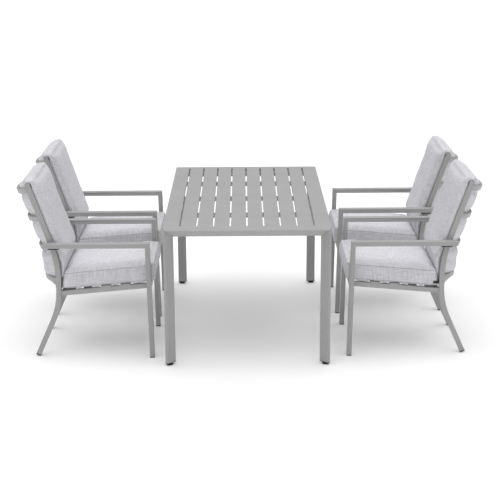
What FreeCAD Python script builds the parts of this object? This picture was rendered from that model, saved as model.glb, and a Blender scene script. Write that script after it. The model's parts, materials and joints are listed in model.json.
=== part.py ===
"""Patio dining set: a slatted aluminium table and four cushioned armchairs.

Millimetres and degrees, +Z up. The origin is on the floor, midway between the two pairs of
chairs. The table's length lies along Y and its width along X. Left is -X and front is -Y.
A chair is drawn in its own frame: +X points to its back, Z is up, and the origin is on the
floor between its front feet.
"""
import FreeCAD, Part
import Sketcher
import math
import os
import re

SIZES = {
    # Table frame: bevelled tube for the end frames, L-shaped rails along the sides.
    "table_length": 1500, "table_width": 875, "table_height": 758, "table_offset": -15,
    "frame_size": 52.5, "frame_bevel": 12.5, "frame_wall": 2.5, "side_web": 25,
    # Top slats and what carries them.
    "slat_pitch": 87.5, "slat_slot": 8, "slat_thickness": 15, "slat_wall": 1.5,
    "crossbar_width": 30, "crossbar_depth": 22, "crossbar_wall": 2, "crossbar_spacing": 375,
    "ledge_width": 25, "ledge_thickness": 4, "gusset_leg": 70,
    # Leg ends: a plastic cap and a levelling glide on a threaded stud.
    "glide_height": 12, "glide_radius": 18, "glide_clearance": 0.3, "glide_round": 3,
    "glide_inward": 22, "glide_back": 32.5, "stud_radius": 4, "stud_clearance": 0.08,
    "stud_length": 15, "cap_thickness": 3, "cap_plug": 12, "cap_clearance": 0.3,
    # Where the middle of each chair's front feet stands.
    "front_left_x": -531.5, "front_left_y": -347, "rear_left_x": -536.5, "rear_left_y": 329,
    "front_right_x": 536.5, "front_right_y": -338, "rear_right_x": 525.5, "rear_right_y": 368.5,
    # Arm frame: front leg and armrest in one tube.
    "chair_width": 545, "arm_width": 40, "arm_depth": 25, "arm_top": 641.5, "arm_rear": 567,
    "front_lean": 1.1, "tube_wall": 2, "tube_round": 2.5,
    # Rear post: splayed leg, upright stretch and raked back in one bent tube.
    "post_x": 495, "post_width": 28, "post_depth": 28, "leg_rake": 24.3, "back_rake": 18.7,
    "knee_z": 287.4, "knee_tangent": 90, "shoulder_z": 539.1, "shoulder_tangent": 100,
    "back_run": 443, "arm_bolt_run": 95,
    # Bowed back slats between the posts.
    "bow_depth": 100, "bow_thickness": 14, "bow_height": 30, "bow_wall": 1.5, "bow_round": 5,
    "low_slat_z": 415, "low_slat_forward": 6, "first_slat_run": 72, "second_slat_run": 242, "third_slat_run": 401,
    # Seat frame and seat slats, in a plane that slopes down to the back.
    "seat_slope": 5, "seat_z": 410.8, "seat_front": -3, "seat_rear": 482.6, "rail_width": 25,
    "rail_depth": 25, "seat_slat_width": 55, "seat_slat_thickness": 8, "short_slat_width": 45,
    "first_seat_slat": 110, "second_seat_slat": 215, "first_short_slat": 320,
    "second_short_slat": 410,
    # Cushions.
    "cushion_width": 458, "cushion_gap": 0.4, "seat_cushion_front": -22,
    "seat_cushion_rear": 480.5, "seat_cushion_height": 96, "seat_cushion_round": 14,
    "joint_lean": 10.5, "joint_gap": 1.5, "back_cushion_bottom": 369.3, "back_cushion_run": 467,
    "back_cushion_start": -10, "back_cushion_front": 43, "back_cushion_low_front": 38,
    "post_gap_clearance": 3.5, "bow_clearance": 3, "back_cushion_round": 32, "hood_back": 14,
    "hood_gap": 0.6, "belly_top_run": 418, "belly_top_back": 22, "belly_foot_z": 395,
    # Small parts.
    "plug_thickness": 5, "plug_spigot": 15, "plug_clearance": 0.4, "bracket_length": 57,
    "bracket_thickness": 6, "bracket_width": 36, "bracket_x": 480, "bolt_head_radius": 5.5,
    "bolt_head_height": 4, "bolt_radius": 3, "bolt_hole_radius": 3.1, "bolt_key": 4,
    "bolt_key_depth": 2, "arm_bolt_length": 34, "leg_bolt_length": 10, "leg_bolt_x": 8,
}

doc = FreeCAD.newDocument("PatioDiningSet")
sheet = doc.addObject("Spreadsheet::Sheet", "Sizes")
for row, (alias, size) in enumerate(SIZES.items(), start=1):
    sheet.set(f"A{row}", alias)
    sheet.set(f"B{row}", str(size))
    sheet.setAlias(f"B{row}", alias)
doc.recompute()

nodes = []

# The leg ends start above the glide and the cap.
LEG_BOTTOM = "glide_height + cap_thickness"
# Clear width between the two rear posts, and where each tube's middle plane lies.
POST_GAP = "chair_width - 2 * arm_width - 2 * post_width"
POST_Y = "chair_width / 2 - arm_width - post_width / 2"
ARM_Y = "(chair_width - arm_width) / 2"
SEAT_HALF_WIDTH = "chair_width / 2 - arm_width"
# The rear leg ends where its plug's front corner meets the floor.
LEG_RUN = "(knee_z - post_depth / 2 * sin(leg_rake)) / cos(leg_rake) - plug_thickness"
# The bowed slats' middle line is an arc through both posts.
BOW_RADIUS = f"((({POST_GAP}) / 2)^2 + bow_depth^2) / (2 * bow_depth)"


# ---------------------------------------------------------------- helpers

def formula(text):
    """Turn size names into references to the sheet."""
    return re.sub(r"[a-z_]+", lambda word: f"Sizes.{word[0]}" if word[0] in SIZES else word[0], text)


def value(text):
    """A formula's value in millimetres or degrees."""
    result = sheet.evalExpression(formula(text))
    return float(getattr(result, "Value", result))


def vector(x, y, z):
    return FreeCAD.Vector(value(x), value(y), value(z))


def placed(x="0", y="0", z="0", axis=(0, 0, 1), angle="0"):
    """A placement from formulas."""
    return FreeCAD.Placement(vector(x, y, z), FreeCAD.Rotation(FreeCAD.Vector(*axis), value(angle)))


def node(item, placement=None):
    """Count an object as one of the set's sub-parts."""
    if placement is not None:
        item.Placement = placement
    nodes.append(item)
    return item


def group(label, items):
    """One node made of separate solids."""
    compound = doc.addObject("Part::Compound", label)
    compound.Links = items
    return node(compound)


def rectangle(x_low, y_low, x_high, y_high):
    return [(x_low, y_low), (x_high, y_low), (x_high, y_high), (x_low, y_high)]


def arc_between(start, end, radius, side):
    """The short arc from start to end that bulges to the left (1) or right (-1)."""
    chord = end - start
    half = chord.Length / 2
    sagitta = radius - math.sqrt(radius ** 2 - half ** 2)
    outward = FreeCAD.Vector(-chord.y, chord.x, 0).normalize() * side * sagitta
    return Part.Arc(start, (start + end) / 2 + outward, end)


def add_outline(sketch, corners):
    """A closed outline. A corner is (x, y), or (x, y, radius, side) where an arc starts."""
    points = [vector(corner[0], corner[1], "0") for corner in corners]
    ends = points[1:] + points[:1]
    edges = []
    for corner, start, end in zip(corners, points, ends):
        line = Part.LineSegment(start, end)
        if len(corner) == 4:
            line = arc_between(start, end, value(corner[2]), corner[3])
        edge = sketch.addGeometry(line)
        first = 1 if sketch.getPoint(edge, 1).isEqual(start, 1e-6) else 2
        edges.append((edge, first))
    for index, (corner, point, (edge, first)) in enumerate(zip(corners, points, edges)):
        before, before_first = edges[index - 1]
        sketch.addConstraint(Sketcher.Constraint("Coincident", before, 3 - before_first, edge, first))
        for kind, size, text in (("DistanceX", point.x, corner[0]), ("DistanceY", point.y, corner[1])):
            constraint = sketch.addConstraint(Sketcher.Constraint(kind, edge, first, size))
            sketch.setExpression(f"Constraints[{constraint}]", formula(text))
        if len(corner) == 4:
            radius = Sketcher.Constraint("Radius", edge, value(corner[2]))
            sketch.setExpression(f"Constraints[{sketch.addConstraint(radius)}]", formula(corner[2]))


def add_circle(sketch, x, y, radius):
    circle = Part.Circle(vector(x, y, "0"), FreeCAD.Vector(0, 0, 1), value(radius))
    edge = sketch.addGeometry(circle)
    for kind, size, text in (("DistanceX", value(x), x), ("DistanceY", value(y), y)):
        constraint = sketch.addConstraint(Sketcher.Constraint(kind, edge, 3, size))
        sketch.setExpression(f"Constraints[{constraint}]", formula(text))
    constraint = sketch.addConstraint(Sketcher.Constraint("Radius", edge, value(radius)))
    sketch.setExpression(f"Constraints[{constraint}]", formula(radius))


def draw(body, role, outlines=(), circles=(), offset=None):
    """A sketch on one of the body's own origin planes."""
    sketch = body.newObject("Sketcher::SketchObject", f"{body.Name}_sketch")
    support = next(item for item in body.Origin.OriginFeatures if item.Role == role)
    sketch.AttachmentSupport = [(support, "")]
    sketch.MapMode = "FlatFace"
    if offset is not None:
        sketch.AttachmentOffset = offset
    for corners in outlines:
        add_outline(sketch, corners)
    for circle in circles:
        add_circle(sketch, *circle)
    return sketch


def extrude(kind, body, sketch, length, side="Symmetric", reverse=False):
    """A Pad or a Pocket of a sketch."""
    feature = body.newObject(f"PartDesign::{kind}", f"{body.Name}_{kind.lower()}")
    feature.Profile = sketch
    feature.SideType = side
    feature.Reversed = reverse
    feature.setExpression("Length", formula(length))
    return feature


def pad(body, sketch, length, side="Symmetric", reverse=False):
    return extrude("Pad", body, sketch, length, side, reverse)


def pocket(body, sketch, length, side="Symmetric", reverse=False):
    """Cut a sketch out of the body, and make sure that it cuts something."""
    doc.recompute()
    before = body.Shape.Volume
    feature = extrude("Pocket", body, sketch, length, side, reverse)
    doc.recompute()
    if body.Shape.Volume > before - 1:
        raise RuntimeError(f"{body.Label}: pocket removes nothing")
    return feature


def fillet(body, base, radius, chosen):
    """Round the edges of a feature for which chosen(edge) is true."""
    doc.recompute()
    names = [f"Edge{number}" for number, edge in enumerate(base.Shape.Edges, start=1) if chosen(edge)]
    feature = body.newObject("PartDesign::Fillet", f"{body.Name}_fillet")
    feature.Base = (base, names)
    feature.setExpression("Radius", formula(radius))
    return feature


def on_side_faces(half_width, above=0):
    """Chooses the outline edges of a tube's two side faces, above a height."""
    def chosen(edge):
        box = edge.BoundBox
        flat = box.YLength < 0.01 and abs(abs(box.YMin) - half_width) < 0.01
        return flat and box.ZMax > above
    return chosen


# ---------------------------------------------------------------- table

def bevelled_section(inset="0"):
    """Section of the end frames' tube, drawn as (from the outer face, from the end face).

    A narrow bevel cuts the outer corner and a broad 45 degree face slopes back inwards.
    With an inset, it is the section of the tube's hollow.
    """
    low, high = f"({inset})", f"(frame_size - ({inset}))"
    skew = f"({inset}) * sqrt(2)"
    return [
        ("frame_bevel", skew),
        (high, f"{high} - frame_bevel + {skew}"),
        (high, high),
        (low, high),
        (low, f"frame_bevel + {skew} - {low}"),
    ]


def mitre(outer_x, inward):
    """Triangle above the 45 degree line that falls inwards from the frame's top outer corner."""
    reach = "(frame_size + 2)"
    return [
        (f"{outer_x} - ({inward}) * 2", "table_height + 2"),
        (f"{outer_x} + ({inward}) * {reach}", "table_height + 2"),
        (f"{outer_x} + ({inward}) * {reach}", f"table_height - {reach}"),
    ]


def mitre_below(outer_x, inward):
    """Triangle below the same line."""
    reach = "(frame_size + 2)"
    return [
        (f"{outer_x} - ({inward}) * 2", "table_height + 2"),
        (f"{outer_x} - ({inward}) * 2", f"table_height - {reach}"),
        (f"{outer_x} + ({inward}) * {reach}", f"table_height - {reach}"),
    ]


def corner_places():
    """Each table corner: its name, its placement, and the way inwards along its local X."""
    right, front = "table_offset + table_width / 2", "-table_length / 2"
    left, rear = "table_offset - table_width / 2", "table_length / 2"
    return [
        ("front_left", placed(left, front), 1),
        ("front_right", placed(right, front), -1),
        ("rear_left", placed(left, rear, angle="180"), -1),
        ("rear_right", placed(right, rear, angle="180"), 1),
    ]


def table_leg(name, place, inward):
    body = doc.addObject("PartDesign::Body", f"table_leg_{name}")
    lift = placed(z=LEG_BOTTOM)
    length = f"table_height - ({LEG_BOTTOM})"

    def section(inset="0"):
        return [(f"{inward} * ({x})", y) for x, y in bevelled_section(inset)]

    pad(body, draw(body, "XY_Plane", [section()], offset=lift), length, "One side")
    pocket(body, draw(body, "XY_Plane", [section("frame_wall")], offset=lift), length, "One side", True)
    pocket(body, draw(body, "XZ_Plane", [mitre("0", inward)]), "3 * frame_size")
    node(body, place)


def end_apron(name, place):
    body = doc.addObject("PartDesign::Body", f"table_apron_{name}")

    def section(inset="0"):
        return [(y, f"table_height - ({depth})") for depth, y in bevelled_section(inset)]

    pad(body, draw(body, "YZ_Plane", [section()]), "table_width")
    pocket(body, draw(body, "YZ_Plane", [section("frame_wall")]), "table_width + 2")
    ends = [mitre_below("-table_width / 2", 1), mitre_below("table_width / 2", -1)]
    pocket(body, draw(body, "XZ_Plane", ends), "3 * frame_size")
    node(body, place)


def side_rail(name, side):
    """L-shaped rail whose top flange is the outermost strip of the table top."""
    body = doc.addObject("PartDesign::Body", f"table_rail_{name}")

    def section(inset="0"):
        outer = f"{side} * (table_width / 2 - ({inset}))"
        web = f"{side} * (table_width / 2 - side_web + ({inset}))"
        flange = f"{side} * (4 * slat_pitch + slat_slot / 2 + ({inset}))"
        top = f"table_height - ({inset})"
        under = f"table_height - slat_thickness + ({inset})"
        bottom = f"table_height - frame_size + ({inset})"
        return [(outer, bottom), (outer, top), (flange, top), (flange, under), (web, under), (web, bottom)]

    sketch = draw(body, "XZ_Plane", [section(), section("frame_wall")])
    pad(body, sketch, "table_length - 2 * frame_size")
    node(body, placed("table_offset"))


def top_slats():
    body = doc.addObject("PartDesign::Body", "table_top_slats")
    outlines = []
    for number in range(-4, 4):
        low = f"{number} * slat_pitch + slat_slot / 2"
        high = f"{number + 1} * slat_pitch - slat_slot / 2"
        outlines.append(rectangle(low, "table_height - slat_thickness", high, "table_height"))
        outlines.append(rectangle(f"{low} + slat_wall", "table_height - slat_thickness + slat_wall",
                                  f"{high} - slat_wall", "table_height - slat_wall"))
    pad(body, draw(body, "XZ_Plane", outlines), "table_length - 2 * frame_size")
    node(body, placed("table_offset"))


def top_supports():
    """Three tubular crossbars and two end ledges under the slats."""
    body = doc.addObject("PartDesign::Body", "table_crossbars_and_ledges")
    top = "table_height - slat_thickness"
    outlines = []
    for number in (-1, 0, 1):
        low = f"{number} * crossbar_spacing - crossbar_width / 2"
        high = f"{number} * crossbar_spacing + crossbar_width / 2"
        outlines.append(rectangle(low, f"{top} - crossbar_depth", high, top))
        outlines.append(rectangle(f"{low} + crossbar_wall", f"{top} - crossbar_depth + crossbar_wall",
                                  f"{high} - crossbar_wall", f"{top} - crossbar_wall"))
    for side in (-1, 1):
        outer = f"{side} * (table_length / 2 - frame_size)"
        inner = f"{side} * (table_length / 2 - frame_size - ledge_width)"
        outlines.append(rectangle(outer, f"{top} - ledge_thickness", inner, top))
    pad(body, draw(body, "YZ_Plane", outlines), "table_width - 2 * side_web")
    node(body, placed("table_offset"))


def corner_gussets():
    body = doc.addObject("PartDesign::Body", "table_corner_gussets")
    outlines = []
    for x_side in (-1, 1):
        for y_side in (-1, 1):
            x_corner = f"{x_side} * (table_width / 2 - side_web)"
            y_corner = f"{y_side} * (table_length / 2 - frame_size)"
            outlines.append([(x_corner, y_corner),
                             (f"{x_corner} - {x_side} * gusset_leg", y_corner),
                             (x_corner, f"{y_corner} - {y_side} * gusset_leg")])
    height = placed(z="table_height - slat_thickness - ledge_thickness")
    pad(body, draw(body, "XY_Plane", outlines, offset=height), "ledge_thickness", "One side", True)
    node(body, placed("table_offset"))


def leg_cap(name, place, inward):
    """Plastic cap: a flange as wide as the leg and a plug inside it, bored for the stud."""
    body = doc.addObject("PartDesign::Body", f"leg_cap_{name}")

    def section(inset="0"):
        return [(f"{inward} * ({x})", y) for x, y in bevelled_section(inset)]

    flange = draw(body, "XY_Plane", [section()], offset=placed(z="glide_height"))
    pad(body, flange, "cap_thickness", "One side")
    plug = draw(body, "XY_Plane", [section("frame_wall + cap_clearance")], offset=placed(z=LEG_BOTTOM))
    pad(body, plug, "cap_plug", "One side")
    bore = (f"{inward} * glide_inward", "glide_back", "stud_radius + stud_clearance")
    pocket(body, draw(body, "XY_Plane", circles=[bore]), "2 * stud_length + 2 * glide_height")
    body.Placement = place
    return body


def levelling_glide(name, place, inward):
    """Round foot on a stud that turns in the cap."""
    body = doc.addObject("PartDesign::Body", f"levelling_glide_{name}")
    base_height = "glide_height - glide_clearance"
    centre = (f"{inward} * glide_inward", "glide_back")
    base = pad(body, draw(body, "XY_Plane", circles=[(*centre, "glide_radius")]), base_height, "One side")
    fillet(body, base, "glide_round", lambda edge: edge.BoundBox.ZMin > value(base_height) - 0.01)
    stud = draw(body, "XY_Plane", circles=[(*centre, "stud_radius")], offset=placed(z=base_height))
    pad(body, stud, "stud_length", "One side")
    node(body, place)


def table():
    caps = []
    for name, place, inward in corner_places():
        table_leg(name, place, inward)
        levelling_glide(name, place, inward)
        caps.append(leg_cap(name, place, inward))
    group("table_leg_caps", caps)
    end_apron("front", placed("table_offset", "-table_length / 2"))
    end_apron("rear", placed("table_offset", "table_length / 2", angle="180"))
    side_rail("left", -1)
    side_rail("right", 1)
    top_slats()
    top_supports()
    corner_gussets()


# ---------------------------------------------------------------- chair

def along_leg(run, offset):
    """Point beside the splayed rear leg: run down from the knee, offset towards the back."""
    return (f"post_x + ({run}) * sin(leg_rake) + ({offset}) * cos(leg_rake)",
            f"knee_z - ({run}) * cos(leg_rake) + ({offset}) * sin(leg_rake)")


def along_back(run, offset):
    """Point beside the raked back: run up from the shoulder, offset towards the back."""
    return (f"post_x + ({run}) * sin(back_rake) + ({offset}) * cos(back_rake)",
            f"shoulder_z + ({run}) * cos(back_rake) - ({offset}) * sin(back_rake)")


def post_outline(half, leg_end, back_end):
    """Side view of the bent rear post, with tangent arcs at its knee and its shoulder."""
    front, rear = f"-({half})", f"({half})"
    knee = "knee_tangent / tan(leg_rake / 2)"
    shoulder = "shoulder_tangent / tan(back_rake / 2)"
    knee_top, shoulder_low = "knee_z + knee_tangent", "shoulder_z - shoulder_tangent"
    return [
        along_leg(leg_end, front),
        (*along_leg("knee_tangent", front), f"{knee} + {rear}", 1),
        (f"post_x + {front}", knee_top),
        (f"post_x + {front}", shoulder_low, f"{shoulder} + {rear}", 1),
        along_back("shoulder_tangent", front),
        along_back(back_end, front),
        along_back(back_end, rear),
        (*along_back("shoulder_tangent", rear), f"{shoulder} - {rear}", -1),
        (f"post_x + {rear}", shoulder_low),
        (f"post_x + {rear}", knee_top, f"{knee} - {rear}", -1),
        along_leg("knee_tangent", rear),
        along_leg(leg_end, rear),
    ]


def rear_post(label, place):
    body = doc.addObject("PartDesign::Body", label)
    outer = post_outline("post_depth / 2", LEG_RUN, "back_run")
    inner = post_outline("post_depth / 2 - tube_wall", f"{LEG_RUN} + tube_wall", "back_run - tube_wall")
    tube = pad(body, draw(body, "XZ_Plane", [outer]), "post_width")
    fillet(body, tube, "tube_round", on_side_faces(value("post_width / 2"), value("post_depth")))
    pocket(body, draw(body, "XZ_Plane", [inner]), "post_width - 2 * tube_wall")
    hole = (*along_back("arm_bolt_run", "0"), "bolt_hole_radius")
    pocket(body, draw(body, "XZ_Plane", circles=[hole]), "2 * post_width")
    node(body, place)


def arm_outline(inset, foot_z):
    """Side view of the front leg and the armrest, square at their common corner."""
    def leg_x(offset, height):
        return f"({offset}) + ({height}) * tan(front_lean)"

    front, back = f"-arm_depth / 2 + ({inset})", f"arm_depth / 2 - ({inset})"
    top, under = f"arm_top - ({inset})", f"arm_top - arm_depth + ({inset})"
    rear = f"arm_rear - ({inset})"
    return [(leg_x(front, foot_z), foot_z), (leg_x(back, foot_z), foot_z), (leg_x(back, under), under),
            (rear, under), (rear, top), (leg_x(front, top), top)]


def arm_frame(label, place, side):
    """Front leg and armrest. Side is 1 for the +Y arm and -1 for the -Y arm."""
    body = doc.addObject("PartDesign::Body", label)
    tube = pad(body, draw(body, "XZ_Plane", [arm_outline("0", "plug_thickness")]), "arm_width")
    fillet(body, tube, "tube_round", on_side_faces(value("arm_width / 2"), value("arm_depth")))
    hollow = draw(body, "XZ_Plane", [arm_outline("tube_wall", "0")])
    pocket(body, hollow, "arm_width - 2 * tube_wall")
    holes = [(*along_back("arm_bolt_run", "0"), "bolt_hole_radius"), (*leg_bolt_point(), "bolt_hole_radius")]
    pocket(body, draw(body, "XZ_Plane", circles=holes), "arm_width", "One side", side > 0)
    node(body, place)


def leg_bolt_point():
    """Where the bolt from the seat frame enters the front leg."""
    return ("leg_bolt_x * cos(seat_slope) - rail_depth / 2 * sin(seat_slope)",
            "seat_z - leg_bolt_x * sin(seat_slope) - rail_depth / 2 * cos(seat_slope)")


def seat_frame(label, place):
    """Four rails welded into a ring, each a channel that is open below."""
    body = doc.addObject("PartDesign::Body", label)

    def ring(inset):
        half = f"({SEAT_HALF_WIDTH} - ({inset}))"
        return rectangle(f"seat_front + ({inset})", f"-{half}", f"seat_rear - ({inset})", half)

    outer_and_inner = [ring("0"), ring("rail_width")]
    pad(body, draw(body, "XY_Plane", outer_and_inner), "rail_depth", "One side", True)
    channel = [ring("tube_wall"), ring("rail_width - tube_wall")]
    below = placed(z="-rail_depth")
    pocket(body, draw(body, "XY_Plane", channel, offset=below), "rail_depth - tube_wall", "One side", True)
    holes = [("leg_bolt_x", "-rail_depth / 2", "bolt_hole_radius")]
    pocket(body, draw(body, "XZ_Plane", circles=holes), "chair_width")
    node(body, place)


def seat_slats(label, place):
    """Two slats across the rails and two shorter, deeper ones between them."""
    body = doc.addObject("PartDesign::Body", label)
    half, inner_half = f"({SEAT_HALF_WIDTH})", f"({SEAT_HALF_WIDTH} - rail_width)"
    wide = [rectangle(start, f"-{half}", f"{start} + seat_slat_width", half)
            for start in ("first_seat_slat", "second_seat_slat")]
    short = [rectangle(start, f"-{inner_half}", f"{start} + short_slat_width", inner_half)
             for start in ("first_short_slat", "second_short_slat")]
    pad(body, draw(body, "XY_Plane", wide), "seat_slat_thickness", "One side")
    pad(body, draw(body, "XY_Plane", short), "2 * seat_slat_thickness")
    node(body, place)


def back_slat(label, place):
    """Flat oval tube bowed towards the back. Its frame lies on the posts' middle line."""
    body = doc.addObject("PartDesign::Body", label)
    centre = f"(bow_depth - {BOW_RADIUS})"

    def band(inset, overshoot):
        half = f"(({POST_GAP}) / 2 + {overshoot})"
        outer = f"({BOW_RADIUS} + bow_thickness / 2 - ({inset}))"
        inner = f"({BOW_RADIUS} - bow_thickness / 2 + ({inset}))"
        outer_x = f"{centre} + sqrt({outer}^2 - {half}^2)"
        inner_x = f"{centre} + sqrt({inner}^2 - {half}^2)"
        return [(outer_x, f"-{half}", outer, -1), (outer_x, half),
                (inner_x, half, inner, 1), (inner_x, f"-{half}")]

    tube = pad(body, draw(body, "XY_Plane", [band("0", "0")]), "bow_height")
    fillet(body, tube, "bow_round", lambda edge: isinstance(edge.Curve, Part.Circle))
    pocket(body, draw(body, "XY_Plane", [band("bow_wall", "1")]), "bow_height - 2 * bow_round")
    body.Placement = place
    return body


def back_slats(label, place):
    runs = ("first_slat_run", "second_slat_run", "third_slat_run")
    slats = [back_slat(f"{label}_0", place * placed("post_x - low_slat_forward", z="low_slat_z"))]
    for number, run in enumerate(runs, start=1):
        x, z = along_back(run, "0")
        raked = placed(x, z=z, axis=(0, 1, 0), angle="back_rake")
        slats.append(back_slat(f"{label}_{number}", place * raked))
    group(label, slats)


def seat_cushion(label, place):
    """Slab whose rear face leans forward under the back cushion."""
    body = doc.addObject("PartDesign::Body", label)
    bottom = "(seat_slat_thickness + cushion_gap)"
    top = f"({bottom} + seat_cushion_height)"
    lean = "seat_cushion_height * tan(joint_lean + seat_slope)"
    outline = [("seat_cushion_front", bottom), ("seat_cushion_rear", bottom),
               (f"seat_cushion_rear - {lean}", top), ("seat_cushion_front", top)]
    slab = pad(body, draw(body, "XZ_Plane", [outline]), "cushion_width")
    fillet(body, slab, "seat_cushion_round", lambda edge: edge.BoundBox.ZMax > value(top) - 0.01)
    node(body, place)


def back_cushion(label, place):
    """Slab in front of the posts, with a hood over them and a belly that fills the bowed slats."""
    body = doc.addObject("PartDesign::Body", label)

    def plan(front, forward="0"):
        side = "(cushion_width / 2)"
        belly = f"(({POST_GAP}) / 2 - post_gap_clearance)"
        radius = f"({BOW_RADIUS} - bow_thickness / 2 - bow_clearance)"
        belly_x = f"(bow_depth - {forward} - {BOW_RADIUS} + sqrt({radius}^2 - {belly}^2))"
        post_face = f"-(post_depth / 2 + cushion_gap + {forward})"
        return [(f"-{front}", f"-{side}"), (post_face, f"-{side}"), (post_face, f"-{belly}"),
                (belly_x, f"-{belly}", radius, -1), (belly_x, belly), (post_face, belly),
                (post_face, side), (f"-{front}", side)]

    low = draw(body, "XY_Plane", [plan("back_cushion_low_front", "low_slat_forward")],
               offset=placed("post_x", z="back_cushion_bottom"))
    pad(body, low, "shoulder_z - back_cushion_bottom", "One side")
    slant = "(shoulder_z - back_cushion_bottom) * tan(joint_lean)"
    lowest_x = "(seat_cushion_rear * cos(seat_slope) + joint_gap + 2)"
    under_seat = draw(body, "XZ_Plane", [[
        ("seat_cushion_rear - rail_width * 3", "back_cushion_bottom - 1"),
        (lowest_x, "back_cushion_bottom - 1"),
        (f"{lowest_x} - {slant}", "shoulder_z - 1"),
        ("seat_cushion_rear - rail_width * 3", "shoulder_z - 1"),
    ]])
    pocket(body, under_seat, "2 * cushion_width")
    foot = draw(body, "XZ_Plane", [[
        ("post_x + post_depth / 2", "back_cushion_bottom - 1"),
        ("post_x + 2 * bow_depth", "back_cushion_bottom - 1"),
        ("post_x + 2 * bow_depth", "belly_foot_z"),
        ("post_x + bow_depth", "belly_foot_z"),
    ]])
    pocket(body, foot, "2 * cushion_width")
    start_x, start_z = along_back("back_cushion_start", "0")
    raked = placed(start_x, z=start_z, axis=(0, 1, 0), angle="back_rake")
    upper = draw(body, "XY_Plane", [plan("back_cushion_front")], offset=raked)
    slab = pad(body, upper, "back_cushion_run - back_cushion_start", "One side")
    top_x, top_z = along_back("back_cushion_run", "-back_cushion_front")

    def top_front(edge):
        middle = edge.CenterOfMass
        return abs(middle.x - value(top_x)) < 0.1 and abs(middle.z - value(top_z)) < 0.1

    fillet(body, slab, "back_cushion_round", top_front)
    top_back = draw(body, "XZ_Plane", [[
        along_back("belly_top_run", "bow_depth"),
        along_back("back_cushion_run + 1", "belly_top_back"),
        along_back("back_cushion_run + 1", "2 * bow_depth"),
        along_back("belly_top_run", "2 * bow_depth"),
    ]])
    pocket(body, top_back, "2 * cushion_width")
    hood_x, hood_z = along_back("back_run + hood_gap", "0")
    over_posts = draw(body, "XY_Plane", [rectangle("-back_cushion_front / 2", "-cushion_width / 2",
                                                   "hood_back", "cushion_width / 2")],
                      offset=placed(hood_x, z=hood_z, axis=(0, 1, 0), angle="back_rake"))
    pad(body, over_posts, "back_cushion_run - back_run - hood_gap", "One side")
    node(body, place)


def foot_plug(label, place, width, depth):
    """Flange the size of the tube and a spigot inside it."""
    body = doc.addObject("PartDesign::Body", label)

    def outline(inset):
        x, y = f"({depth} / 2 - ({inset}))", f"({width} / 2 - ({inset}))"
        return rectangle(f"-{x}", f"-{y}", x, y)

    pad(body, draw(body, "XY_Plane", [outline("0")]), "plug_thickness", "One side")
    spigot = draw(body, "XY_Plane", [outline("tube_wall + plug_clearance")], offset=placed(z="plug_thickness"))
    pad(body, spigot, "plug_spigot", "One side")
    body.Placement = place
    return body


def foot_plugs(label, place):
    x, z = along_leg(f"{LEG_RUN} + plug_thickness", "0")
    plugs = []
    for name, side in (("left", "-"), ("right", "")):
        front = place * placed(y=f"{side}({ARM_Y})")
        rear = place * placed(x, f"{side}({POST_Y})", z, (0, 1, 0), "-leg_rake")
        plugs.append(foot_plug(f"{label}_front_{name}", front, "arm_width", "arm_depth"))
        plugs.append(foot_plug(f"{label}_rear_{name}", rear, "post_width", "post_depth"))
    group(label, plugs)


def bolt(label, place, length):
    """Button head with a hexagon socket. The shank runs along +Z from the head's face."""
    body = doc.addObject("PartDesign::Body", label)
    head = draw(body, "XY_Plane", circles=[("0", "0", "bolt_head_radius")])
    pad(body, head, "bolt_head_height", "One side", True)
    pad(body, draw(body, "XY_Plane", circles=[("0", "0", "bolt_radius")]), length, "One side")
    hexagon = [(f"bolt_key / sqrt(3) * cos({60 * turn})", f"bolt_key / sqrt(3) * sin({60 * turn})")
               for turn in range(6)]
    socket = draw(body, "XY_Plane", [hexagon], offset=placed(z="-bolt_head_height"))
    pocket(body, socket, "bolt_key_depth", "One side", True)
    body.Placement = place
    return body


def arm_bracket(label, place):
    plate = doc.addObject("Part::Box", label)
    plate.setExpression("Length", formula("bracket_length"))
    plate.setExpression("Width", formula("bracket_width"))
    plate.setExpression("Height", formula("bracket_thickness"))
    plate.Placement = place
    return plate


def fixings(label, place):
    """Brackets under the arms, bolts through the posts into the arms, bolts into the legs."""
    arm_x, arm_z = along_back("arm_bolt_run", "0")
    leg_x, leg_z = leg_bolt_point()
    items = []
    for name, side in (("left", -1), ("right", 1)):
        outward = {"axis": (1, 0, 0), "angle": f"{-90 * side}"}
        post_face = f"{side} * ({SEAT_HALF_WIDTH} - post_width)"
        channel_face = f"{side} * ({SEAT_HALF_WIDTH} - tube_wall)"
        under_arm = f"{side} * ({SEAT_HALF_WIDTH} + bracket_width / 2) - bracket_width / 2"
        items.append(bolt(f"{label}_arm_{name}", place * placed(arm_x, post_face, arm_z, **outward),
                          "arm_bolt_length"))
        items.append(bolt(f"{label}_leg_{name}", place * placed(leg_x, channel_face, leg_z, **outward),
                          "leg_bolt_length"))
        items.append(arm_bracket(f"{label}_bracket_{name}", place * placed(
            "bracket_x", under_arm, "arm_top - arm_depth - bracket_thickness")))
    group(label, items)


def chair(name, place):
    tilted = place * placed(z="seat_z", axis=(0, 1, 0), angle="seat_slope")
    for side_name, side in (("left", -1), ("right", 1)):
        rear_post(f"{name}_post_{side_name}", place * placed(y=f"{side} * ({POST_Y})"))
        arm_frame(f"{name}_arm_{side_name}", place * placed(y=f"{side} * ({ARM_Y})"), side)
    seat_frame(f"{name}_seat_frame", tilted)
    seat_slats(f"{name}_seat_slats", tilted)
    back_slats(f"{name}_back_slats", place)
    seat_cushion(f"{name}_seat_cushion", tilted)
    back_cushion(f"{name}_back_cushion", place)
    foot_plugs(f"{name}_foot_plugs", place)
    fixings(f"{name}_fixings", place)


def chairs():
    for name in ("front_left", "rear_left", "front_right", "rear_right"):
        turn = "180" if "left" in name else "0"
        chair(f"chair_{name}", placed(f"{name}_x", f"{name}_y", angle=turn))


# ---------------------------------------------------------------- build, check, write

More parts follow.
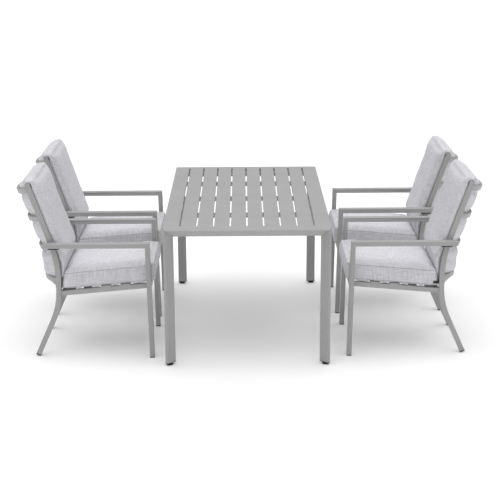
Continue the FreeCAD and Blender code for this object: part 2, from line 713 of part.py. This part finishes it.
def check():
    for item in doc.Objects:
        if {"Invalid", "Error"} & set(item.State):
            raise RuntimeError(f"{item.Label}: {item.State}")
    for item in nodes:
        if item.Shape.isNull() or not item.Shape.isValid():
            raise RuntimeError(f"{item.Label}: bad shape")


def write():
    os.makedirs("parts", exist_ok=True)
    for item in nodes:
        item.Shape.exportStep(f"parts/{item.Label}.step")
        print(f"{item.Label}: {len(item.Shape.Solids)} solids, {item.Shape.Volume / 1000:.1f} cm3")


table()
chairs()
doc.recompute()
check()
write()
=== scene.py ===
"""Patio dining set: materials, soft cushions, straps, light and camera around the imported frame.

Metres, in the frame's own axes: +X right, +Y to the table's rear end, +Z up from the floor.
"""

import bmesh
import bpy
import json
import math
from mathutils import Matrix, Vector, noise


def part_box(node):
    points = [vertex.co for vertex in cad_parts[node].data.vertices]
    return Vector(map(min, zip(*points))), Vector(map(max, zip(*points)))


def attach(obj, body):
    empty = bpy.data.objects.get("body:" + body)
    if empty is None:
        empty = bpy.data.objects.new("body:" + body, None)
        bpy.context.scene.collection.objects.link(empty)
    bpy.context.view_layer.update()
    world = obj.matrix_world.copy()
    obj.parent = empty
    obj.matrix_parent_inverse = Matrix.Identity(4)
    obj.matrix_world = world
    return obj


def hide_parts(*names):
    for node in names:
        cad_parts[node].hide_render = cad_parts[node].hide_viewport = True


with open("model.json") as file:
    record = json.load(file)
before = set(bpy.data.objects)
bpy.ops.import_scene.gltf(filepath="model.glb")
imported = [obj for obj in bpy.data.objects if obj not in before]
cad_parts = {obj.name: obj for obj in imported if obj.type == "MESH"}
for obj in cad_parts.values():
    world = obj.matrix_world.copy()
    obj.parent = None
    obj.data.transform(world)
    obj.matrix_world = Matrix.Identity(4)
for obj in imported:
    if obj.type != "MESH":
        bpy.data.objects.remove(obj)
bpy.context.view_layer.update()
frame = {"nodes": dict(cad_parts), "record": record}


# ---------------------------------------------------------------- node helpers

class Nodes:
    """A material's node tree, built with short calls."""

    def __init__(self, name):
        self.material = bpy.data.materials.new(name)
        self.material.use_nodes = True
        self.tree = self.material.node_tree
        self.tree.nodes.clear()
        self.output = self.add("ShaderNodeOutputMaterial")
        self.surface = self.add("ShaderNodeBsdfPrincipled")
        self.link(self.surface.outputs["BSDF"], self.output.inputs["Surface"])
        coordinates = self.add("ShaderNodeTexCoord")
        self.place, self.facing = coordinates.outputs["Object"], coordinates.outputs["Normal"]

    def add(self, kind, **settings):
        """A new node with its settings."""
        item = self.tree.nodes.new(kind)
        for name, setting in settings.items():
            setattr(item, name, setting)
        return item

    def link(self, source, target):
        """Feed an input socket from another node's output, or with a plain value."""
        if hasattr(source, "is_output"):
            self.tree.links.new(source, target)
        else:
            target.default_value = source

    def math(self, operation, first, second=0.0, third=0.0):
        """One calculation with up to three sockets or numbers."""
        item = self.add("ShaderNodeMath", operation=operation)
        for socket, source in zip(item.inputs, (first, second, third)):
            self.link(source, socket)
        return item.outputs[0]

    def split(self, source):
        """The X, Y and Z of a vector."""
        item = self.add("ShaderNodeSeparateXYZ")
        self.link(source, item.inputs[0])
        return tuple(item.outputs)

    def stretched(self, scale):
        """The object's own coordinates, times a scale along each axis."""
        item = self.add("ShaderNodeVectorMath", operation="MULTIPLY")
        self.link(self.place, item.inputs[0])
        item.inputs[1].default_value = scale
        return item.outputs[0]

    def noise(self, scale, detail=2.0):
        """Noise from 0 to 1. The scale is in cycles a metre: one number, or one for each axis."""
        item = self.add("ShaderNodeTexNoise")
        scales = scale if isinstance(scale, (tuple, list)) else (scale, scale, scale)
        self.link(self.stretched(scales), item.inputs["Vector"])
        item.inputs["Scale"].default_value = 1.0
        item.inputs["Detail"].default_value = detail
        item.inputs["Roughness"].default_value = 0.5
        return item.outputs["Fac"]

    def spread(self, source, low, high, to_low=0.0, to_high=1.0):
        """Map a range of values onto another, clamped."""
        item = self.add("ShaderNodeMapRange")
        for name, number in (("From Min", low), ("From Max", high), ("To Min", to_low), ("To Max", to_high)):
            item.inputs[name].default_value = number
        self.link(source, item.inputs["Value"])
        return item.outputs["Result"]

    def mix(self, factor, first, second):
        """The first colour where the factor is 0, and the second where it is 1."""
        item = self.add("ShaderNodeMix", data_type="RGBA")
        self.link(factor, item.inputs["Factor"])
        for socket, source in ((item.inputs[6], first), (item.inputs[7], second)):
            self.link((*source, 1.0) if isinstance(source, tuple) else source, socket)
        return item.outputs[2]

    def bump(self, height, distance, strength):
        """Relief on the surface. The distance is what a height of 1 stands for."""
        item = self.add("ShaderNodeBump")
        item.inputs["Strength"].default_value = strength
        item.inputs["Distance"].default_value = distance
        self.link(height, item.inputs["Height"])
        self.link(item.outputs["Normal"], self.surface.inputs["Normal"])

    def set(self, **sockets):
        """Feed the surface's sockets, with _ for each space in a name."""
        for name, source in sockets.items():
            self.link(source, self.surface.inputs[name.replace("_", " ")])


# ---------------------------------------------------------------- materials

def powder_coat():
    """Light taupe grey powder coat: a fine orange-peel skin with a soft speckle."""
    nodes = Nodes("powder_coat")
    deep, middle, pale = (0.372, 0.367, 0.368), (0.392, 0.387, 0.388), (0.417, 0.412, 0.413)
    clouds = nodes.noise(9, 3)
    speckle = nodes.spread(nodes.noise(1400, 1), 0.35, 0.65)
    tone = nodes.mix(nodes.spread(clouds, 0.3, 0.7), middle, pale)
    nodes.set(Base_Color=nodes.mix(speckle, tone, deep),
              Roughness=nodes.spread(clouds, 0.3, 0.7, 0.42, 0.52))
    nodes.bump(nodes.noise(700, 2), 0.00012, 0.6)
    return nodes.material


def moulded_plastic():
    """Black plastic of the plugs and glides, faintly scuffed."""
    nodes = Nodes("moulded_plastic")
    black, worn = (0.010, 0.010, 0.010), (0.022, 0.022, 0.021)
    scuffs = nodes.noise((260, 260, 40), 3)
    nodes.set(Base_Color=nodes.mix(nodes.spread(scuffs, 0.45, 0.75), black, worn),
              Roughness=nodes.spread(scuffs, 0.3, 0.7, 0.5, 0.66))
    nodes.bump(nodes.noise(1800, 1), 0.0001, 0.5)
    return nodes.material


def outdoor_fabric():
    """Heathered pale grey outdoor cloth: light and dark yarns, a plain weave, painted shade along the seams,
    and the seams' stitches.
    """
    nodes = Nodes("outdoor_fabric")
    dark_yarn = (0.550, 0.550, 0.585)
    light_yarn, palest_yarn = (0.750, 0.750, 0.785), (0.790, 0.790, 0.825)
    # The first colour is painted shade for the seams' creases; the second is the stitch thread's own colour.
    painted_seam_shade, stitch_thread = (0.22, 0.22, 0.235), (0.78, 0.78, 0.80)
    along_yarn, across_yarn = 22, 620
    weave_pitch, stitch_pitch, stitch_row = 0.0024, 0.005, 0.006
    place, facing = nodes.split(nodes.place), nodes.split(nodes.facing)

    yarns, threads = 0.0, 0.0
    for axis in range(3):
        # A yarn or thread is drawn across an axis only where the cloth doesn't face along that axis.
        share = nodes.spread(nodes.math("ABSOLUTE", facing[axis]), 0.45, 0.8, 1.0, 0.0)
        scale = [along_yarn, along_yarn, along_yarn]
        scale[axis] = across_yarn
        streak = nodes.math("SUBTRACT", nodes.noise(scale, 2), 0.5)
        yarns = nodes.math("MULTIPLY_ADD", streak, share, yarns)
        thread = nodes.math("SINE", nodes.math("MULTIPLY", place[axis], 2 * math.pi / weave_pitch))
        threads = nodes.math("MULTIPLY_ADD", thread, share, threads)
    heather = nodes.spread(yarns, -0.17, 0.17)
    light = nodes.mix(nodes.spread(nodes.noise(11, 3), 0.3, 0.7), light_yarn, palest_yarn)
    cloth = nodes.mix(heather, dark_yarn, light)

    # The seam attribute is the distance to the nearest seam, which sewn() writes.
    seam = nodes.math("ABSOLUTE", nodes.add("ShaderNodeAttribute", attribute_name="seam").outputs["Fac"])
    # Painted shade: a dark band of colour along each seam's crease, where shade falls. The same mask also
    # sinks the seam's groove in the bump.
    seam_groove_and_painted_shade = nodes.spread(seam, 0.0006, 0.0019, 1.0, 0.0)
    beside = nodes.math("ABSOLUTE", nodes.math("SUBTRACT", seam, stitch_row))
    travel = nodes.math("ADD", place[0], nodes.math("ADD", place[1], place[2]))
    dashes = nodes.math("SINE", nodes.math("MULTIPLY", travel, 2 * math.pi / stitch_pitch))
    stitches = nodes.math("MULTIPLY", nodes.spread(beside, 0.0003, 0.0009, 1.0, 0.0),
                          nodes.spread(dashes, -0.2, 0.1))
    # Paint the seam shade into the cloth's colour.
    painted_seam_shaded = nodes.mix(nodes.math("MULTIPLY", seam_groove_and_painted_shade, 0.6), cloth, painted_seam_shade)
    nodes.set(Base_Color=nodes.mix(nodes.math("MULTIPLY", stitches, 0.5), painted_seam_shaded, stitch_thread),
              Roughness=nodes.spread(heather, 0.0, 1.0, 0.95, 0.86),
              Sheen_Weight=0.2, Sheen_Roughness=0.5, Specular_IOR_Level=0.2)

    woven = nodes.math("MULTIPLY_ADD", threads, 0.3, nodes.math("MULTIPLY", heather, 0.6))
    stitched = nodes.math("MULTIPLY_ADD", stitches, 1.2, woven)
    nodes.bump(nodes.math("SUBTRACT", stitched, nodes.math("MULTIPLY", seam_groove_and_painted_shade, 2.0)), 0.0004, 0.6)
    return nodes.material


def webbing():
    """Black woven tape, ribbed along its length."""
    nodes = Nodes("black_webbing")
    black, fluff = (0.012, 0.012, 0.013), (0.035, 0.035, 0.036)
    fuzz = nodes.noise(900, 2)
    nodes.set(Base_Color=nodes.mix(fuzz, black, fluff), Roughness=nodes.spread(fuzz, 0.3, 0.7, 0.75, 0.9))
    nodes.bump(nodes.noise((30, 30, 1500), 1), 0.0005, 0.8)
    return nodes.material


def black_steel():
    """Blackened steel of the bolts and stems."""
    nodes = Nodes("black_steel")
    black, worn = (0.014, 0.014, 0.015), (0.03, 0.03, 0.032)
    patches = nodes.noise(90, 3)
    nodes.set(Base_Color=nodes.mix(nodes.spread(patches, 0.4, 0.7), black, worn),
              Roughness=nodes.spread(patches, 0.3, 0.7, 0.32, 0.5), Metallic=0.6)
    nodes.bump(nodes.noise(1200, 1), 0.00008, 0.5)
    return nodes.material


# ---------------------------------------------------------------- rigid parts

FINISHES = {
    "frame": powder_coat(),
    "black_plastic": moulded_plastic(),
    "black_steel": black_steel(),
}
WELD_GAP = 0.00001
EDGE_WIDTH = 0.0011
EDGE_ANGLE = math.radians(35)


def dress_frame():
    """Give each rigid CAD node its material and softened edges. The cushions' nodes are replaced later."""
    for part in frame["record"]["subparts"]:
        material = FINISHES.get(part["material_slot"])
        if material is None:
            continue
        item = frame["nodes"][part["node"]]
        item.data.materials.clear()
        item.data.materials.append(material)
        weld = item.modifiers.new("weld", "WELD")
        weld.merge_threshold = WELD_GAP
        bevel = item.modifiers.new("soft_edges", "BEVEL")
        bevel.width = EDGE_WIDTH
        bevel.segments = 2
        bevel.limit_method = "ANGLE"
        bevel.angle_limit = EDGE_ANGLE
        bevel.harden_normals = True


# ---------------------------------------------------------------- a chair's own axes

# x to the rear from the front feet, y across, z up. Chairs on the left face the other way.
CHAIRS = {"front_left": math.pi, "rear_left": math.pi, "front_right": 0.0, "rear_right": 0.0}
MODEL_CHAIR = "front_right"
HALF_PLUG = 0.0125
REAR = Vector((1, 0, 0))
SEAT_SLOPE = math.radians(5)
SEAT_START = Vector((0, 0, 0.4108))
SEAT_UP = Vector((math.sin(SEAT_SLOPE), 0, math.cos(SEAT_SLOPE)))
BACK_RAKE = math.radians(18.7)
SHOULDER = Vector((0.495, 0, 0.5391))
BACK_UP = Vector((math.sin(BACK_RAKE), 0, math.cos(BACK_RAKE)))
BACK_REAR = Vector((math.cos(BACK_RAKE), 0, -math.sin(BACK_RAKE)))


def chair_place(chair):
    """The placement of a chair's own axes in the row frame."""
    low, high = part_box(f"chair_{chair}_foot_plugs")
    turn = CHAIRS[chair]
    x = high[0] - HALF_PLUG if turn else low[0] + HALF_PLUG
    return Matrix.Translation((x, (low[1] + high[1]) / 2, 0)) @ Matrix.Rotation(turn, 4, "Z")


def on_back(point):
    """A point's run up the back from the shoulder, and its offset to the rear."""
    along = point - SHOULDER
    return along.dot(BACK_UP), along.dot(BACK_REAR)


def ease(number, low, high):
    """0 below low, 1 above high, and smooth between them."""
    part = min(max((number - low) / (high - low), 0.0), 1.0)
    return part * part * (3 - 2 * part)


def limited(move, most):
    """A move in the same direction, shortened smoothly so that it never gets longer than most."""
    length = max(move.length, 1e-6)
    return move * (most * math.tanh(length / most) / length)


# ---------------------------------------------------------------- cushions

# The cells that the cloth is made of, and how far inside the CAD solid it starts.
SEAT_CELL, BACK_CELL = 0.006, 0.007
START_INSET = 0.005
CLOTH_STEPS = 20
# The furthest that the pressure moves a point, and that a held point slides along the solid.
BLOWN_REACH, HELD_SLIDE = 0.025, 0.006

# The seat cushion's seams are heights above the seat's plane. The back cushion's is an offset.
SEAT_SEAMS = (0.094, 0.017)
BACK_SEAM = -0.036
SEAM_DEPTH, SEAM_WIDTH = 0.0016, 0.0028
AWAY_FROM_SEAMS = 0.02

# The runs up the back of the bowed slats' middles.
SLAT_RUNS = (-0.125, 0.072, 0.242, 0.401)
# Where along the seat nothing lies under the cushion, between the rails and the slats.
SEAT_GAPS = ((0.022, 0.110), (0.165, 0.215), (0.270, 0.320), (0.365, 0.410))
SAG_EASE = 0.018


def baked(item):
    """The mesh that an object's modifiers make."""
    view = bpy.context.evaluated_depsgraph_get()
    return bpy.data.meshes.new_from_object(item.evaluated_get(view))


def solid_of(node):
    """A CAD solid's mesh in the model chair's own axes."""
    work = bmesh.new()
    work.from_mesh(frame["nodes"][node].data)
    bmesh.ops.remove_doubles(work, verts=work.verts, dist=0.00002)
    work.transform(chair_place(MODEL_CHAIR).inverted())
    solid = bpy.data.meshes.new("solid")
    work.to_mesh(solid)
    work.free()
    return solid


def facing_of(normal, up_axis, rear_axis):
    """How much the cloth faces each way, from 0 to 1."""
    up, rearward = normal.dot(up_axis), normal.dot(rear_axis)
    return {"top": max(up, 0) ** 2, "bottom": max(-up, 0) ** 2, "side": normal.y ** 2,
            "front": max(-rearward, 0) ** 2, "rear": max(rearward, 0) ** 2}


def shared(facing, everywhere=0.0, **amounts):
    """Amounts stated for a cushion's sides, shared out by how much the cloth faces each way."""
    return sum((amount * facing[side] for side, amount in amounts.items()), everywhere)


def seat_fit(point, normal):
    """How far cloth may sink below and stand proud of the seat pad's solid here, and what the fill adds."""
    facing = facing_of(normal, SEAT_UP, REAR)
    height = (point - SEAT_START).dot(SEAT_UP)
    middle = 1 - abs(2 * ease(height, -0.02, 0.15) - 1)
    sag = max(min(ease(point.x, low, low + SAG_EASE), 1 - ease(point.x, high - SAG_EASE, high))
              for low, high in SEAT_GAPS)
    over_rail = ease(abs(point.y), 0.196, 0.206)
    sink = shared(facing, top=0.009, bottom=0.003, side=0.004, front=0.009, rear=0.002)
    proud = shared(facing, everywhere=0.0001, top=0.025, bottom=(0.011 - 0.0055 * over_rail) * sag,
                   side=0.0006, front=0.0125 * middle, rear=0.0006)
    fill = shared(facing, top=0.007, bottom=0.03 * sag * over_rail, side=0.0125, front=0.035, rear=0.014)
    return sink, proud, fill


def back_fit(point, normal):
    """The same for the back cushion, whose belly bulges between the bowed slats and stays clear of them."""
    facing = facing_of(normal, BACK_UP, BACK_REAR)
    run, offset = on_back(point)
    across = abs(point.y)
    above_seat = ease(run, -0.04, 0.07)
    low = 1 - ease(run, 0.0, 0.09)
    in_hood = ease(run, 0.412, 0.432)
    corner = ease(across, 0.12, 0.235)
    belly = 1 - ease(across, 0.18, 0.2)
    between = min(ease(abs(run - slat), 0.014, 0.06) for slat in SLAT_RUNS)
    behind = ease(offset, -0.042, 0.026)
    slope = ease(offset, 0.0, 0.06)
    sink = shared(facing, top=0.012 - 0.010 * behind + 0.009 * slope, bottom=0.004, side=0.006,
                  front=0.002 + (0.004 + 0.006 * corner) * above_seat,
                  rear=0.004 + 0.008 * in_hood * slope)
    proud = shared(facing, everywhere=0.0005, top=0.0295 * (1 - 0.75 * corner ** 2) * (1 - behind),
                   side=0.0002, front=0.011 * above_seat,
                   rear=(0.012 + 0.022 * low) * between * belly * (1 - in_hood))
    fill = shared(facing, top=(0.042 - 0.022 * corner) * (1 - behind) - 0.02 * behind, side=0.011,
                  front=0.010 * (1 - above_seat), rear=0.010 + 0.020 * low - 0.03 * in_hood)
    return sink, proud, fill


def blow_up(item):
    """Let pressure inside the cloth push its points out."""
    cloth = item.modifiers.new("cloth", "CLOTH")
    cloth.settings.quality = 5
    cloth.settings.mass = 0.3
    cloth.settings.bending_stiffness = 0.6
    cloth.settings.use_pressure = True
    cloth.settings.uniform_pressure_force = 4
    cloth.settings.effector_weights.gravity = 0
    for step in range(1, CLOTH_STEPS + 1):
        bpy.context.scene.frame_set(step)
    blown = baked(item)
    item.modifiers.clear()
    bpy.context.scene.frame_set(1)
    for vertex, moved in zip(item.data.vertices, blown.vertices):
        vertex.co += limited(moved.co - vertex.co, BLOWN_REACH)


def swollen(name, node, fit, cell):
    """Cloth blown up from a slightly smaller copy of a CAD solid, then held to the solid by fit."""
    item = bpy.data.objects.new(name, solid_of(node))
    bpy.context.collection.objects.link(item)
    remesh = item.modifiers.new("cells", "REMESH")
    remesh.mode = "VOXEL"
    remesh.voxel_size = cell
    cloth_mesh = baked(item)
    item.modifiers.clear()
    item.data = cloth_mesh
    shell = [(vertex.co.copy(), vertex.normal.copy()) for vertex in cloth_mesh.vertices]
    for vertex, (point, normal) in zip(cloth_mesh.vertices, shell):
        vertex.co = point - normal * START_INSET
    blow_up(item)
    for vertex, (point, normal) in zip(cloth_mesh.vertices, shell):
        move = vertex.co - point
        rise = move.dot(normal)
        slide = move - normal * rise
        sink, proud, fill = fit(point, normal)
        rise += fill
        room = proud if rise > 0 else sink
        vertex.co = point + normal * (room * math.tanh(rise / room)) + limited(slide, HELD_SLIDE)
    smooth = item.modifiers.new("smooth", "SMOOTH")
    smooth.factor = 0.5
    smooth.iterations = 4
    finer = item.modifiers.new("finer", "SUBSURF")
    finer.levels = 1
    finer.render_levels = 1
    finished = baked(item)
    bpy.data.objects.remove(item)
    return finished


def seam_offset(kind, point, normal):
    """How far a point is above or in front of the nearest sewn seam of its cushion."""
    upright = 1 - abs(normal.dot(SEAT_UP if kind == "seat_cushion" else BACK_REAR))
    if upright <= 0.3:
        return AWAY_FROM_SEAMS
    if kind == "seat_cushion":
        height = (point - SEAT_START).dot(SEAT_UP)
        return min((height - seam for seam in SEAT_SEAMS), key=abs)
    run, offset = on_back(point)
    return (offset - BACK_SEAM) if run < 0.4 or abs(normal.y) > 0.6 else AWAY_FROM_SEAMS


def sewn(kind, mesh):
    """Draw the cloth in along the seams, and keep each point's distance to them for the material."""
    seam = mesh.attributes.new("seam", "FLOAT", "POINT")
    moves = []
    for vertex in mesh.vertices:
        offset = seam_offset(kind, vertex.co, vertex.normal)
        seam.data[vertex.index].value = offset
        moves.append(vertex.normal * -SEAM_DEPTH * math.exp(-(offset / SEAM_WIDTH) ** 2))
    for vertex, move in zip(mesh.vertices, moves):
        vertex.co += move


def settled(kind, mesh, chair):
    """One chair's own copy, with its own faint hollows and ripples where nothing presses on it."""
    copy = mesh.copy()
    phase = Vector((7.3, 2.1, 4.7)) * (1 + sorted(CHAIRS).index(chair))
    surface = [(vertex.co.copy(), vertex.normal.copy()) for vertex in mesh.vertices]
    for vertex, (point, normal) in zip(copy.vertices, surface):
        if kind == "seat_cushion":
            free = ease(normal.dot(SEAT_UP), 0.3, 0.9) + 0.5 * ease(-normal.x, 0.3, 0.9)
            ripple = Vector((point.x * 9, point.y * 7, 0))
        else:
            run, _ = on_back(point)
            free_front = ease(-normal.dot(BACK_REAR), 0.3, 0.9) * ease(run, -0.02, 0.05)
            free = free_front + 0.5 * ease(normal.z, 0.3, 0.9)
            ripple = Vector((run * 7, point.y * 9, 0))
        wave = noise.noise(ripple + phase) * 0.0035 + noise.noise(ripple * 3.1 + phase) * 0.0012
        vertex.co = point + normal * (wave * free)
    return copy


def make_cushions(fabric):
    """Blow up each kind of cushion once, and give each chair its own settled copy."""
    for kind, fit, cell in (("seat_cushion", seat_fit, SEAT_CELL), ("back_cushion", back_fit, BACK_CELL)):
        model = swollen(kind, f"chair_{MODEL_CHAIR}_{kind}", fit, cell)
        sewn(kind, model)
        model.polygons.foreach_set("use_smooth", [True] * len(model.polygons))
        for chair in CHAIRS:
            mesh = settled(kind, model, chair)
            mesh.transform(chair_place(chair))
            mesh.materials.clear()
            mesh.materials.append(fabric)
            name = f"{kind}_of_chair_{chair}"
            mesh.name = name
            cushion = bpy.data.objects.new(name, mesh)
            bpy.context.collection.objects.link(cushion)
            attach(cushion, f"{kind}_{chair}")
            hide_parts(f"chair_{chair}_{kind}")


# ---------------------------------------------------------------- straps

# Seen from above, in a chair's own axes: along the seat cushion's side, then round a rear post.
STRAP_ON_SIDE = [(0.4480, 0.2303), (0.4530, 0.2310), (0.4600, 0.2312), (0.4700, 0.2312)]
STRAP_ROUND_POST = [
    (0.4745, 0.2306), (0.4772, 0.2275), (0.4790, 0.2205), (0.4796, 0.2120), (0.4796, 0.2052),
    (0.4806, 0.2036), (0.4826, 0.2031), (0.4950, 0.2031), (0.5074, 0.2031), (0.5096, 0.2037),
    (0.5104, 0.2056), (0.5104, 0.2150), (0.5104, 0.2240),
]
STRAP_LOW, STRAP_HIGH = 0.3955, 0.4105
STRAP_THICK = 0.0011
TUCKED_DROP = 0.011
TUCKED_CHAIR = "front_left"


def strap_mesh(side, tucked):
    """Flat webbing from the seat cushion's side round a rear post, or tucked in behind the cushion."""
    path = STRAP_ROUND_POST if tucked else STRAP_ON_SIDE + STRAP_ROUND_POST
    drop = TUCKED_DROP if tucked else 0.0
    low, high = STRAP_LOW - drop, STRAP_HIGH - drop
    points, faces = [], []
    for index, (x, y) in enumerate(path):
        before, after = path[max(index - 1, 0)], path[min(index + 1, len(path) - 1)]
        along = Vector((after[0] - before[0], after[1] - before[1])).normalized()
        across = Vector((-along.y, along.x)) * STRAP_THICK / 2
        for sign, height in ((1, low), (1, high), (-1, high), (-1, low)):
            points.append((x + across.x * sign, (y + across.y * sign) * side, height))
        if index:
            start = 4 * index
            for turn in range(4):
                following = (turn + 1) % 4
                faces.append((start - 4 + turn, start - 4 + following, start + following, start + turn))
    end = 4 * (len(path) - 1)
    faces += [(3, 2, 1, 0), (end, end + 1, end + 2, end + 3)]
    if side < 0:
        faces = [tuple(reversed(face)) for face in faces]
    mesh = bpy.data.meshes.new("strap")
    mesh.from_pydata(points, [], faces)
    return mesh


def add_straps(tape):
    """A strap at each rear post of each chair."""
    for chair in CHAIRS:
        for side, hand in ((1, "right"), (-1, "left")):
            mesh = strap_mesh(side, tucked=chair == TUCKED_CHAIR)
            mesh.transform(chair_place(chair))
            mesh.materials.append(tape)
            strap = bpy.data.objects.new(f"strap_{hand}_of_chair_{chair}", mesh)
            bpy.context.collection.objects.link(strap)
            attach(strap, f"chair_{chair}")


# ---------------------------------------------------------------- stage

CAMERA_PLACE = (-0.037, -6.895, 2.423)
CAMERA_LENS = 88.98
# Yaw to the right, pitch down, and roll, in degrees.
CAMERA_TURNS = (0.34, 16.16, -0.27)
FLOOR_REACH = 60.0
# The sky's strength: its height from the horizon to a power, times the gain, plus the low value.
SKY_LOW, SKY_GAIN, SKY_POWER = 0.17, 3.2, 3.0


def add_camera():
    """The camera that was fitted to the photograph."""
    yaw, pitch, roll = (math.radians(angle) for angle in CAMERA_TURNS)
    forward = Vector((math.sin(yaw) * math.cos(pitch), math.cos(yaw) * math.cos(pitch), -math.sin(pitch)))
    right = Vector((math.cos(yaw), -math.sin(yaw), 0))
    up = right.cross(forward)
    turned_right = right * math.cos(roll) + up * math.sin(roll)
    turned_up = up * math.cos(roll) - right * math.sin(roll)
    data = bpy.data.cameras.new("camera")
    data.lens = CAMERA_LENS
    data.clip_end = 200
    camera = bpy.data.objects.new("camera", data)
    turn = Matrix((turned_right, turned_up, -forward)).transposed().to_4x4()
    camera.matrix_world = Matrix.Translation(CAMERA_PLACE) @ turn
    bpy.context.collection.objects.link(camera)
    bpy.context.scene.camera = camera


def add_floor():
    """A pale floor with a faint glow, which keeps the shadows on it soft."""
    mesh = bpy.data.meshes.new("floor")
    corners = [(x * FLOOR_REACH, y * FLOOR_REACH, 0) for x, y in ((-1, -1), (1, -1), (1, 1), (-1, 1))]
    mesh.from_pydata(corners, [], [(0, 1, 2, 3)])
    floor = bpy.data.objects.new("floor", mesh)
    nodes = Nodes("pale_floor")
    nodes.set(Base_Color=nodes.mix(nodes.noise(0.8, 2), (0.86, 0.86, 0.86), (0.87, 0.87, 0.87)),
              Roughness=0.9, Specular_IOR_Level=0.1, Emission_Color=(1, 1, 1, 1), Emission_Strength=0.16)
    mesh.materials.append(nodes.material)
    bpy.context.collection.objects.link(floor)


def add_light():
    """A wide soft sky, brightest overhead."""
    world = bpy.data.worlds.new("studio")
    bpy.context.scene.world = world
    world.use_nodes = True
    tree = world.node_tree
    tree.nodes.clear()
    place = tree.nodes.new("ShaderNodeTexCoord")
    split = tree.nodes.new("ShaderNodeSeparateXYZ")
    tree.links.new(place.outputs["Generated"], split.inputs[0])
    strength = split.outputs["Z"]
    steps = (("MAXIMUM", (0.0,)), ("POWER", (SKY_POWER,)), ("MULTIPLY_ADD", (SKY_GAIN, SKY_LOW)))
    for operation, numbers in steps:
        step = tree.nodes.new("ShaderNodeMath")
        step.operation = operation
        tree.links.new(strength, step.inputs[0])
        for place_in_step, number in enumerate(numbers, 1):
            step.inputs[place_in_step].default_value = number
        strength = step.outputs[0]
    background = tree.nodes.new("ShaderNodeBackground")
    output = tree.nodes.new("ShaderNodeOutputWorld")
    tree.links.new(strength, background.inputs["Strength"])
    tree.links.new(background.outputs[0], output.inputs["Surface"])


bpy.context.scene.view_settings.view_transform = "Standard"
add_camera()
dress_frame()
make_cushions(outdoor_fabric())
add_straps(webbing())
add_floor()
add_light()
